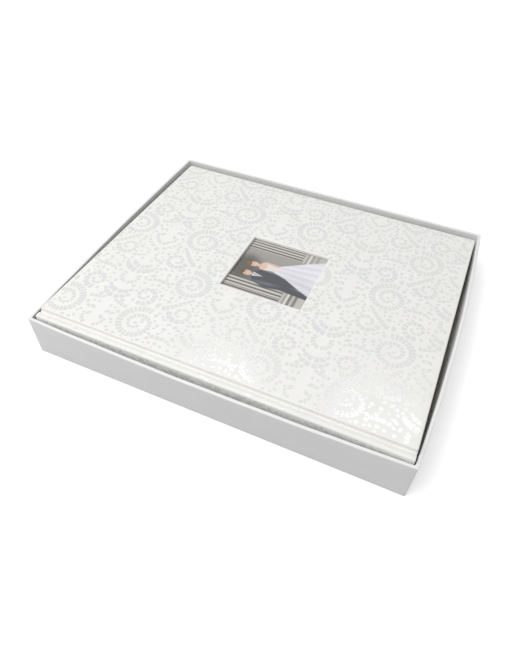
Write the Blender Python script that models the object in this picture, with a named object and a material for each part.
"""A wedding photo album lying in its open presentation tray, in metres, +Z up.

The origin is the middle of the tray's underside. X runs along the album's spine, +Y from the spine to
the fore edge. The tray is a rigid box of greyboard walls wrapped in white paper. The album is book-bound:
two covers and a hollow spine in one covering, a block of card leaves on guards, and a square window in the
front cover with a print behind it. The front cover turns on its joint, and the top leaves follow it.
"""

import math

import bmesh
import bpy

MM = 0.001

# Papers, glue lines and running gaps
PAPER = 0.20 * MM
GLUE = 0.10 * MM
REST_GAP = 0.30 * MM
SKIN = PAPER + GLUE

# Album covers
COVER_WIDTH = 292.0 * MM
COVER_LENGTH = 237.0 * MM
BACK_BOARD = 2.4 * MM
WINDOW_BOARD = 2.4 * MM
BACKING_BOARD = 1.2 * MM
WINDOW_WIDTH = 70.0 * MM
WINDOW_LENGTH = 70.0 * MM
WINDOW_SHIFT = 1.0 * MM
PRINT_THICKNESS = 0.25 * MM
PRINT_MARGIN = 6.0 * MM
TURN_IN = 14.0 * MM
PASTEDOWN = 0.15 * MM
PASTEDOWN_INSET = 4.0 * MM

# Spine and joints
JOINT_WIDTH = 4.4 * MM
SPINE_BOARD = 2.4 * MM
SHOULDER_RADIUS = 3.2 * MM
SHOULDER_CLEARANCE = 0.6 * MM
GROOVE_DEPTH = 1.3 * MM
AXIS_DROP = 0.8 * MM
LINING_GAP = 2.9 * MM
LINING = 0.3 * MM
BAND_RADIUS = 1.1 * MM

# Leaves
LEAF_COUNT = 30
LEAF = 0.5 * MM
PITCH_AT_SPINE = 1.075 * MM
PITCH_AT_FORE_EDGE = 0.83 * MM
SQUARE = 3.0 * MM
TURNING_LEAVES = 8
GUARD_STUB = 6.2 * MM
GUARD_STEP = 1.2 * MM
ROOT_GAP = 0.5 * MM

# Tray
TRAY_HEIGHT = 38.5 * MM
TRAY_BOARD = 1.65 * MM
CORNER_TAPE = 0.15 * MM
CORNER_TAPE_LEG = 12.0 * MM
CORNER_TAPE_END_GAP = 2.0 * MM
WRAP_UNDER = 15.0 * MM
BASE_SHEET_INSET = 4.0 * MM
GAP_LEFT = 3.7 * MM
GAP_RIGHT = 0.7 * MM
GAP_FRONT = 0.5 * MM
GAP_BACK = 5.3 * MM
BOW = {"front": 3.0 * MM, "back": 0.6 * MM, "left": 2.0 * MM, "right": 4.5 * MM}
WALL_SEGMENTS = 10
WALL_ROWS = 2

# What follows is worked out from the sizes above
ALBUM_WIDTH = COVER_WIDTH + 2 * SKIN
ALBUM_DEPTH = SKIN + SPINE_BOARD + JOINT_WIDTH + COVER_LENGTH + SKIN
WALL = PAPER + GLUE + CORNER_TAPE + GLUE + TRAY_BOARD + GLUE + PAPER
INNER_WIDTH = ALBUM_WIDTH + GAP_LEFT + GAP_RIGHT
INNER_DEPTH = ALBUM_DEPTH + GAP_FRONT + GAP_BACK
HALF_WIDTH = INNER_WIDTH / 2 + WALL
HALF_DEPTH = INNER_DEPTH / 2 + WALL
BOARD_OUT = PAPER + GLUE + CORNER_TAPE + GLUE
BOARD_IN = BOARD_OUT + TRAY_BOARD

WRAP_BOTTOM = PAPER + GLUE
BASE_BOTTOM = WRAP_BOTTOM + PAPER + GLUE
BASE_TOP = BASE_BOTTOM + TRAY_BOARD
FLOOR_TOP = BASE_TOP + GLUE + PAPER

COVER_LEFT = -INNER_WIDTH / 2 + GAP_LEFT + SKIN
COVER_RIGHT = COVER_LEFT + COVER_WIDTH
SPINE_FACE = -INNER_DEPTH / 2 + GAP_FRONT
SPINE_OUTER = SPINE_FACE + SKIN
SPINE_INNER = SPINE_OUTER + SPINE_BOARD
HINGE_EDGE = SPINE_INNER + JOINT_WIDTH
FORE_EDGE = HINGE_EDGE + COVER_LENGTH
AXIS_Y = (SPINE_INNER + HINGE_EDGE) / 2

ALBUM_BOTTOM = FLOOR_TOP + REST_GAP
BACK_BOARD_BOTTOM = ALBUM_BOTTOM + SKIN
BACK_BOARD_TOP = BACK_BOARD_BOTTOM + BACK_BOARD
BLOCK_BOTTOM = BACK_BOARD_TOP + GLUE + PAPER + GLUE + PASTEDOWN + REST_GAP
COVER_STACK = (PASTEDOWN + GLUE + SKIN + BACKING_BOARD
               + GLUE + PRINT_THICKNESS + GLUE + WINDOW_BOARD + SKIN)

LEAF_LEFT = COVER_LEFT + SQUARE
LEAF_RIGHT = COVER_RIGHT - SQUARE
LEAF_FORE_EDGE = FORE_EDGE - SQUARE
LINING_BACK = SPINE_INNER + LINING_GAP
GUARD_BACK = LINING_BACK + LINING + GLUE
PITCH_SLOPE = (PITCH_AT_FORE_EDGE - PITCH_AT_SPINE) / COVER_LENGTH


def leaf_height(count, y):
    """Height above the tray's underside of the top of `count` leaf pitches, at a distance y."""
    return BLOCK_BOTTOM + count * (PITCH_AT_SPINE + PITCH_SLOPE * (y - HINGE_EDGE))


COVER_ANGLE = math.atan(LEAF_COUNT * PITCH_SLOPE)
AXIS_Z = leaf_height(LEAF_COUNT, AXIS_Y) + (REST_GAP + COVER_STACK) / math.cos(COVER_ANGLE) - AXIS_DROP
SHOULDER_TOP = AXIS_Z - AXIS_DROP - SHOULDER_CLEARANCE
SHOULDER_Y = SPINE_FACE + SHOULDER_RADIUS
LOW_CENTRE = ALBUM_BOTTOM + SHOULDER_RADIUS
HIGH_CENTRE = SHOULDER_TOP - SHOULDER_RADIUS


def clear_scene():
    for thing in list(bpy.data.objects):
        bpy.data.objects.remove(thing, do_unlink=True)


def make_material(name, colour, roughness):
    """A plain Principled material."""
    material = bpy.data.materials.new(name)
    material.use_nodes = True
    shader = material.node_tree.nodes["Principled BSDF"]
    shader.inputs["Base Color"].default_value = (*colour, 1.0)
    shader.inputs["Roughness"].default_value = roughness
    return material


def add_object(name, points, faces, material, parent=None, location=(0, 0, 0), tilt=0.0):
    """Makes one named object from points and faces, turned about X by `tilt`, with its faces pointing out."""
    mesh = bpy.data.meshes.new(name)
    mesh.from_pydata(points, [], faces)
    shape = bmesh.new()
    shape.from_mesh(mesh)
    bmesh.ops.recalc_face_normals(shape, faces=shape.faces)
    shape.to_mesh(mesh)
    shape.free()
    mesh.materials.append(material)
    item = bpy.data.objects.new(name, mesh)
    bpy.context.scene.collection.objects.link(item)
    item.parent = parent
    item.location = location
    item.rotation_euler = (tilt, 0, 0)
    return item


def add_box(name, low, high, material, **place):
    """A box between two corners."""
    points = [(x, y, z) for z in (low[2], high[2]) for y in (low[1], high[1]) for x in (low[0], high[0])]
    faces = [(0, 1, 3, 2), (4, 5, 7, 6), (0, 1, 5, 4), (2, 3, 7, 6), (0, 2, 6, 4), (1, 3, 7, 5)]
    return add_object(name, points, faces, material, **place)


def add_rectangles(name, rectangles, material, closed, **place):
    """Bridges rectangles (x0, x1, y0, y1, z) one to the next: round to the first one, or capped at both ends."""
    points = []
    for x0, x1, y0, y1, z in rectangles:
        points += [(x0, y0, z), (x1, y0, z), (x1, y1, z), (x0, y1, z)]
    count = len(rectangles)
    faces = []
    for ring in range(count if closed else count - 1):
        here, there = 4 * ring, 4 * ((ring + 1) % count)
        for side in range(4):
            after = (side + 1) % 4
            faces.append((here + side, here + after, there + after, there + side))
    if not closed:
        faces += [(0, 1, 2, 3), tuple(4 * (count - 1) + side for side in range(4))]
    return add_object(name, points, faces, material, **place)


def add_ribbon(name, outer, inner, x0, x1, material, **place):
    """A thin sheet drawn in Y and Z as two lines of as many points, and carried along X from x0 to x1."""
    count = len(outer)
    points = [(x, y, z) for x in (x0, x1) for line in (outer, inner) for y, z in line]
    faces = []
    for step in range(count - 1):
        for end in (0, 2 * count):
            faces.append((end + step, end + step + 1, end + count + step + 1, end + count + step))
        for line in (0, count):
            faces.append((line + step, line + step + 1, line + 2 * count + step + 1, line + 2 * count + step))
    for step in (0, count - 1):
        faces.append((step, count + step, 3 * count + step, 2 * count + step))
    return add_object(name, points, faces, material, **place)


def bowed(x, y, z):
    """Leans a point of the tray outwards: nothing at the corners and the foot, most at mid-rim."""
    rise = z / TRAY_HEIGHT
    side = BOW["right"] if x > 0 else BOW["left"]
    end = BOW["back"] if y > 0 else BOW["front"]
    lean_x = side * rise * (x / HALF_WIDTH) * max(0.0, 1 - (y / HALF_DEPTH) ** 2)
    lean_y = end * rise * (y / HALF_DEPTH) * max(0.0, 1 - (x / HALF_WIDTH) ** 2)
    return (x + lean_x, y + lean_y, z)


def wall_point(wall, along, inset, z):
    """A point `inset` inside the tray's outer face on one wall, `along` from the wall's middle, unbowed."""
    if wall in ("front", "back"):
        return (along, (HALF_DEPTH - inset) * (1 if wall == "back" else -1), z)
    return ((HALF_WIDTH - inset) * (1 if wall == "right" else -1), along, z)


def sweep_section(name, section, stations, material, closed, mitred):
    """Carries a closed section of (inset, z) points through stations (wall, along) of the tray.

    A mitred sweep shortens each wall as its inset grows, so that it turns the corners. A leaning wall's
    panels are twisted, so each is split along the same diagonal in every sheet of the wall: from the lower
    point nearer the wall's middle to the higher point further from it.
    """
    points = []
    for wall, along in stations:
        half = HALF_WIDTH if wall in ("front", "back") else HALF_DEPTH
        for inset, z in section:
            share = (half - inset) / half if mitred else 1.0
            points.append(bowed(*wall_point(wall, along * share, inset, z)))
    ring, count = len(section), len(stations)
    faces = []
    for stop in range(count if closed else count - 1):
        after_stop = (stop + 1) % count
        near, far = ring * stop, ring * after_stop
        if abs(stations[stop][1]) > abs(stations[after_stop][1]):
            near, far = far, near
        for edge in range(ring):
            low, high = sorted((edge, (edge + 1) % ring), key=lambda point: section[point][1])
            faces += [(near + low, far + low, far + high), (near + low, far + high, near + high)]
    if not closed:
        faces += [tuple(range(ring)), tuple(ring * (count - 1) + edge for edge in range(ring))]
    return add_object(name, points, faces, material)


def steps(start, end, count):
    return [start + (end - start) * step / count for step in range(count + 1)]


def wall_steps(half, reach):
    """Stations along a wall out to `reach`, with one where each corner tape ends."""
    taped = half - CORNER_TAPE_LEG
    return [-reach, *steps(-taped, taped, WALL_SEGMENTS), reach]


def rising(inset, low, high):
    """Points of a section up a wall, from low to high."""
    return [(inset, z) for z in steps(low, high, WALL_ROWS)]


def tray_loop():
    """Stations once round the tray, each corner once."""
    across, along = wall_steps(HALF_WIDTH, HALF_WIDTH), wall_steps(HALF_DEPTH, HALF_DEPTH)
    loop = [("front", place) for place in across[:-1]] + [("right", place) for place in along[:-1]]
    loop += [("back", -place) for place in across[:-1]] + [("left", -place) for place in along[:-1]]
    return loop


def build_tray(board, paper, tape):
    """Base and wall boards, corner tapes, the wrap with its turn-ins, and the two base sheets."""
    add_box("tray_base_board", (BOARD_OUT - HALF_WIDTH, BOARD_OUT - HALF_DEPTH, BASE_BOTTOM),
            (HALF_WIDTH - BOARD_OUT, HALF_DEPTH - BOARD_OUT, BASE_TOP), board)

    foot, rim = BASE_TOP + GLUE, TRAY_HEIGHT - SKIN
    slab = rising(BOARD_IN, foot, rim) + rising(BOARD_OUT, rim, foot)
    walls = {"front": (HALF_WIDTH, BOARD_OUT), "back": (HALF_WIDTH, BOARD_OUT),
             "left": (HALF_DEPTH, BOARD_IN + GLUE), "right": (HALF_DEPTH, BOARD_IN + GLUE)}
    for wall, (half, end) in walls.items():
        stations = [(wall, along) for along in wall_steps(half, half - end)]
        sweep_section(f"tray_{wall}_board", slab, stations, board, closed=False, mitred=False)

    tape_out = PAPER + GLUE
    low, high = foot + CORNER_TAPE_END_GAP, rim - CORNER_TAPE_END_GAP
    strip = rising(tape_out + CORNER_TAPE, low, high) + rising(tape_out, high, low)
    for end in ("front", "back"):
        for side in ("left", "right"):
            x = HALF_WIDTH * (1 if side == "right" else -1)
            y = HALF_DEPTH * (1 if end == "back" else -1)
            leg_x = x - math.copysign(CORNER_TAPE_LEG, x)
            leg_y = y - math.copysign(CORNER_TAPE_LEG, y)
            sweep_section(f"tray_corner_tape_{end}_{side}", strip, [(end, leg_x), (end, x), (side, leg_y)],
                          tape, closed=False, mitred=True)

    wrap = [(WRAP_UNDER, WRAP_BOTTOM), *rising(0, WRAP_BOTTOM, TRAY_HEIGHT), *rising(WALL, TRAY_HEIGHT, foot),
            *rising(WALL - PAPER, foot, TRAY_HEIGHT - PAPER),
            *rising(PAPER, TRAY_HEIGHT - PAPER, WRAP_BOTTOM + PAPER), (WRAP_UNDER, WRAP_BOTTOM + PAPER)]
    sweep_section("tray_wrap", wrap, tray_loop(), paper, closed=True, mitred=True)

    liner_x, liner_y = INNER_WIDTH / 2 - GLUE, INNER_DEPTH / 2 - GLUE
    add_box("tray_floor_liner", (-liner_x, -liner_y, BASE_TOP + GLUE), (liner_x, liner_y, FLOOR_TOP), paper)
    sheet_x, sheet_y = HALF_WIDTH - BASE_SHEET_INSET, HALF_DEPTH - BASE_SHEET_INSET
    add_box("tray_base_sheet", (-sheet_x, -sheet_y, 0), (sheet_x, sheet_y, PAPER), paper)


def skin_rectangles(x0, x1, y0, y1, low, high):
    """Rectangles of a paper skin that wraps a board's edges: its outside, its turn-in, and back inside.

    The board lies between low and high, with its outside at high. The skin turns in on three edges, and at
    the joint it stops at the board's inner face.
    """
    out, turn = SKIN, TURN_IN
    joint_turn = SKIN - GLUE
    under = low - SKIN
    return [
        (x0 - out, x1 + out, y0 - out, y1 + out, high + out),
        (x0 - out, x1 + out, y0 - out, y1 + out, under),
        (x0 + turn, x1 - turn, y0 + joint_turn, y1 - turn, under),
        (x0 + turn, x1 - turn, y0 + joint_turn, y1 - turn, under + PAPER),
        (x0 - GLUE, x1 + GLUE, y0 - GLUE, y1 + GLUE, under + PAPER),
        (x0 - GLUE, x1 + GLUE, y0 - GLUE, y1 + GLUE, high + GLUE),
    ]


def build_front_cover(hinge, board, paper, cover, photo):
    """The front cover in its own frame: the joint's axis is its X axis, and its boards lie along Y."""
    y0, y1 = HINGE_EDGE - AXIS_Y, FORE_EDGE - AXIS_Y
    top = AXIS_DROP
    window_high = top - SKIN
    window_low = window_high - WINDOW_BOARD
    print_high = window_low - GLUE
    print_low = print_high - PRINT_THICKNESS
    backing_high = print_low - GLUE
    backing_low = backing_high - BACKING_BOARD
    centre_x = (COVER_LEFT + COVER_RIGHT) / 2
    centre_y = (y0 + y1) / 2 + WINDOW_SHIFT

    def opening(spare, z):
        """The window's rectangle at a height, made larger by `spare` on each side."""
        half_x, half_y = WINDOW_WIDTH / 2 + spare, WINDOW_LENGTH / 2 + spare
        return (centre_x - half_x, centre_x + half_x, centre_y - half_y, centre_y + half_y, z)

    edge = (COVER_LEFT, COVER_RIGHT, y0, y1)
    add_rectangles("front_window_board", [(*edge, window_high), (*edge, window_low), opening(SKIN, window_low),
                                          opening(SKIN, window_high)], board, closed=True, parent=hinge)
    add_box("front_backing_board", (COVER_LEFT, y0, backing_low), (COVER_RIGHT, y1, backing_high), board,
            parent=hinge)
    half_x, half_y = WINDOW_WIDTH / 2 + PRINT_MARGIN, WINDOW_LENGTH / 2 + PRINT_MARGIN
    add_box("window_print", (centre_x - half_x, centre_y - half_y, print_low),
            (centre_x + half_x, centre_y + half_y, print_high), photo, parent=hinge)
    skin = skin_rectangles(*edge, backing_low, window_high)
    window_skin = [opening(PAPER, window_high + GLUE), opening(PAPER, window_low),
                   opening(0, window_low), opening(0, top)]
    add_rectangles("front_cover_skin", skin + window_skin, cover, closed=True, parent=hinge)
    sheet_low = backing_low - SKIN - GLUE - PASTEDOWN
    add_box("front_pastedown", (COVER_LEFT + PASTEDOWN_INSET, y0 + PASTEDOWN_INSET, sheet_low),
            (COVER_RIGHT - PASTEDOWN_INSET, y1 - PASTEDOWN_INSET, sheet_low + PASTEDOWN), paper, parent=hinge)


def build_back_cover(board, paper, cover):
    """The back cover lies flat on the tray's floor, its skin's outside down."""
    add_box("back_cover_board", (COVER_LEFT, HINGE_EDGE, BACK_BOARD_BOTTOM),
            (COVER_RIGHT, FORE_EDGE, BACK_BOARD_TOP), board)
    flat = skin_rectangles(COVER_LEFT, COVER_RIGHT, HINGE_EDGE, FORE_EDGE, -BACK_BOARD_TOP, -BACK_BOARD_BOTTOM)
    upturned = [(x0, x1, y0, y1, -z) for x0, x1, y0, y1, z in flat]
    add_rectangles("back_cover_skin", upturned, cover, closed=False)
    sheet_low = BACK_BOARD_TOP + SKIN + GLUE
    add_box("back_pastedown", (COVER_LEFT + PASTEDOWN_INSET, HINGE_EDGE + PASTEDOWN_INSET, sheet_low),
            (COVER_RIGHT - PASTEDOWN_INSET, FORE_EDGE - PASTEDOWN_INSET, sheet_low + PASTEDOWN), paper)


def shoulder_arc(radius, centre_z, start, end, count=6):
    """Points on the spine's rounded shoulder, from one angle to another in degrees."""
    angles = [math.radians(angle) for angle in steps(start, end, count)]
    return [(SHOULDER_Y + radius * math.cos(angle), centre_z + radius * math.sin(angle)) for angle in angles]


def groove_line(level, depth, lift, count=8):
    """A half wave across the joint from the shoulder to the cover's hinge edge."""
    start, end = SHOULDER_Y + REST_GAP, HINGE_EDGE - SKIN - REST_GAP
    return [(start + (end - start) * share, level + lift - depth * math.sin(math.pi * share))
            for share in steps(0.0, 1.0, count)]


def build_spine(board, cover, cloth):
    """Spine board, the skin round it, the two joint cloths, the lining and the two end bands."""
    add_box("spine_board", (COVER_LEFT, SPINE_OUTER, LOW_CENTRE), (COVER_RIGHT, SPINE_INNER, HIGH_CENTRE), board)
    x0, x1 = COVER_LEFT - SKIN, COVER_RIGHT + SKIN
    lines = []
    for radius in (SHOULDER_RADIUS, SHOULDER_RADIUS - PAPER):
        lines.append(shoulder_arc(radius, LOW_CENTRE, 270, 180) + shoulder_arc(radius, HIGH_CENTRE, 180, 90))
    add_ribbon("spine_skin", lines[0], lines[1], x0, x1, cover)

    add_ribbon("front_joint_cloth", groove_line(SHOULDER_TOP, GROOVE_DEPTH, 0.0),
               groove_line(SHOULDER_TOP, GROOVE_DEPTH, -PAPER), x0, x1, cover)
    add_ribbon("back_joint_cloth", groove_line(ALBUM_BOTTOM, -GROOVE_DEPTH, 0.0),
               groove_line(ALBUM_BOTTOM, -GROOVE_DEPTH, PAPER), x0, x1, cover)

    high = leaf_height(LEAF_COUNT, LINING_BACK) - REST_GAP
    add_box("spine_lining", (LEAF_LEFT, LINING_BACK, BLOCK_BOTTOM), (LEAF_RIGHT, LINING_BACK + LINING, high), cloth)
    for name, x in (("head_band", LEAF_LEFT - BAND_RADIUS - GLUE), ("tail_band", LEAF_RIGHT + BAND_RADIUS + GLUE)):
        angles = [math.radians(angle) for angle in range(0, 360, 30)]
        y = GUARD_BACK + BAND_RADIUS
        ring = [(x + BAND_RADIUS * math.cos(angle), y + BAND_RADIUS * math.sin(angle)) for angle in angles]
        count = len(ring)
        points = [(px, py, z) for z in (BLOCK_BOTTOM, high) for px, py in ring]
        faces = [(step, (step + 1) % count, count + (step + 1) % count, count + step) for step in range(count)]
        faces += [tuple(range(count)), tuple(range(count, 2 * count))]
        add_object(name, points, faces, cloth)


def root_of(order):
    """Distance Y of the root of the leaf that is `order` places below the top one."""
    return GUARD_BACK + GUARD_STUB + GUARD_STEP * min(order, TURNING_LEAVES)


def build_leaves(paper, card):
    """The block of guards at the spine, and each leaf on its own root line, top leaf first."""
    for order in range(LEAF_COUNT):
        below = LEAF_COUNT - 1 - order
        y = root_of(order)
        z = leaf_height(below + 0.5, y)
        tilt = math.atan((below + 0.5) * PITCH_SLOPE)
        length = (LEAF_FORE_EDGE - y) / math.cos(tilt)
        name = {0: "front_flyleaf", LEAF_COUNT - 1: "back_flyleaf"}.get(order, f"leaf_{order:02d}")
        add_box(name, (LEAF_LEFT, 0, -LEAF / 2), (LEAF_RIGHT, length, LEAF / 2), card,
                location=(0, y, z), tilt=tilt)

    low_y, high_y = root_of(TURNING_LEAVES) - ROOT_GAP, root_of(0) - ROOT_GAP
    low_z = leaf_height(LEAF_COUNT - TURNING_LEAVES - 0.5, low_y)
    high_z = leaf_height(LEAF_COUNT - 0.5, high_y)
    outer = [(GUARD_BACK, BLOCK_BOTTOM), (GUARD_BACK, low_z), (GUARD_BACK, high_z)]
    inner = [(low_y, BLOCK_BOTTOM), (low_y, low_z), (high_y, high_z)]
    add_ribbon("leaf_guards", outer, inner, LEAF_LEFT, LEAF_RIGHT, paper)


def build_album(board, paper, cover, card, cloth, photo):
    """The front cover hangs on an empty that lies on the joint's axis, tilted as the leaves make it lie."""
    hinge = bpy.data.objects.new("front_cover_hinge", None)
    bpy.context.scene.collection.objects.link(hinge)
    hinge.location = (0, AXIS_Y, AXIS_Z)
    hinge.rotation_euler = (COVER_ANGLE, 0, 0)
    build_front_cover(hinge, board, paper, cover, photo)
    build_back_cover(board, paper, cover)
    build_spine(board, cover, cloth)
    build_leaves(paper, card)


def main():
    clear_scene()
    board = make_material("greyboard", (0.55, 0.52, 0.47), 0.9)
    paper = make_material("white_paper", (0.86, 0.86, 0.86), 0.55)
    cover = make_material("pearl_cover_paper", (0.88, 0.88, 0.86), 0.38)
    card = make_material("album_card", (0.84, 0.82, 0.77), 0.75)
    cloth = make_material("binding_cloth", (0.80, 0.78, 0.72), 0.85)
    photo = make_material("photo_print", (0.45, 0.43, 0.42), 0.25)
    tape = make_material("corner_tape", (0.72, 0.64, 0.50), 0.8)
    build_tray(board, paper, tape)
    build_album(board, paper, cover, card, cloth, photo)
    for name, value in (("axis y", AXIS_Y), ("axis z", AXIS_Z), ("cover angle", math.degrees(COVER_ANGLE)),
                        ("tray width", 2 * HALF_WIDTH), ("tray depth", 2 * HALF_DEPTH)):
        print(f"{name}: {value:.6f}")
    for order in range(TURNING_LEAVES):
        y = root_of(order)
        print(f"leaf {order} root: {y:.6f} {leaf_height(LEAF_COUNT - order - 0.5, y):.6f}")


main()
